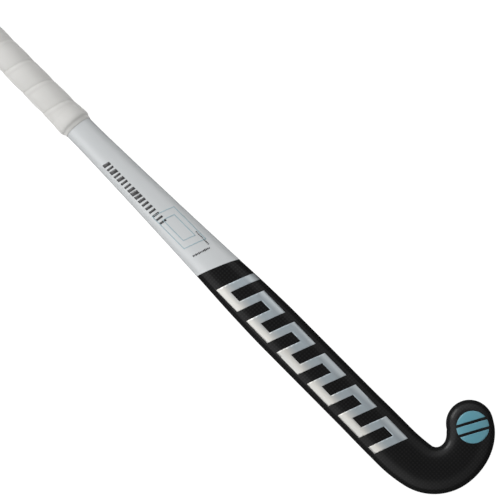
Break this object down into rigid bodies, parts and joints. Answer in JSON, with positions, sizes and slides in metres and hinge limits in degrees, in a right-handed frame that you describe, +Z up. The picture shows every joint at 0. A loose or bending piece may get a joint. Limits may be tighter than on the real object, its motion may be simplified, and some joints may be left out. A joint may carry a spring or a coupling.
{
  "type": "field hockey stick",
  "caption": "Field hockey stick with a low-bowed hollow composite shaft, a hooked flat-faced head, a foam core, a wrapped cushion grip and a capped butt.",
  "frame": {"origin": "centre of the bounding box in plan, on the surface the stick lies on with its flat face down", "axes": "+X from the butt to the head, +Y from the heel side to the toe side, +Z up, out of the rounded back"},
  "size_m": [0.9254, 0.1146, 0.0467],
  "materials": {
    "carbon_laminate": "plain-weave carbon under clear gloss lacquer",
    "white_lacquer": "cool white satin lacquer",
    "silver_foil": "brushed pearly silver foil under lacquer",
    "teal_print": "teal print under lacquer",
    "pale_blue_print": "pale blue line print under lacquer",
    "dark_print": "dark print under lacquer",
    "aramid_weave": "resin-wetted aramid braid",
    "core_foam": "rigid polyurethane foam",
    "glass_fibre_tube": "bladder-moulded glass and carbon fibre tube",
    "plug_plastic": "moulded plastic",
    "cap_rubber": "soft matt rubber",
    "badge_aluminium": "blank satin disc",
    "adhesive_film": "double-sided tape",
    "grip_felt": "non-woven backing",
    "grip_polyurethane": "soft matt polyurethane, tightly wound",
    "finishing_tape": "matt elastic tape"
  },
  "bodies": {
    "root": {"carbon_shell": "carbon_laminate", "aramid_head_sleeve": "aramid_weave", "head_foam_core": "core_foam", "heel_chamber_tube": "glass_fibre_tube", "toe_chamber_tube": "glass_fibre_tube", "heel_chamber_foam": "core_foam", "toe_chamber_foam": "core_foam", "butt_plug": "plug_plastic", "butt_cap": "cap_rubber", "cap_badge": "badge_aluminium", "grip_adhesive": "adhesive_film", "grip_backing": "grip_felt", "grip_cover": "grip_polyurethane", "grip_finishing_tape": "finishing_tape"}
  },
  "joints": []
}
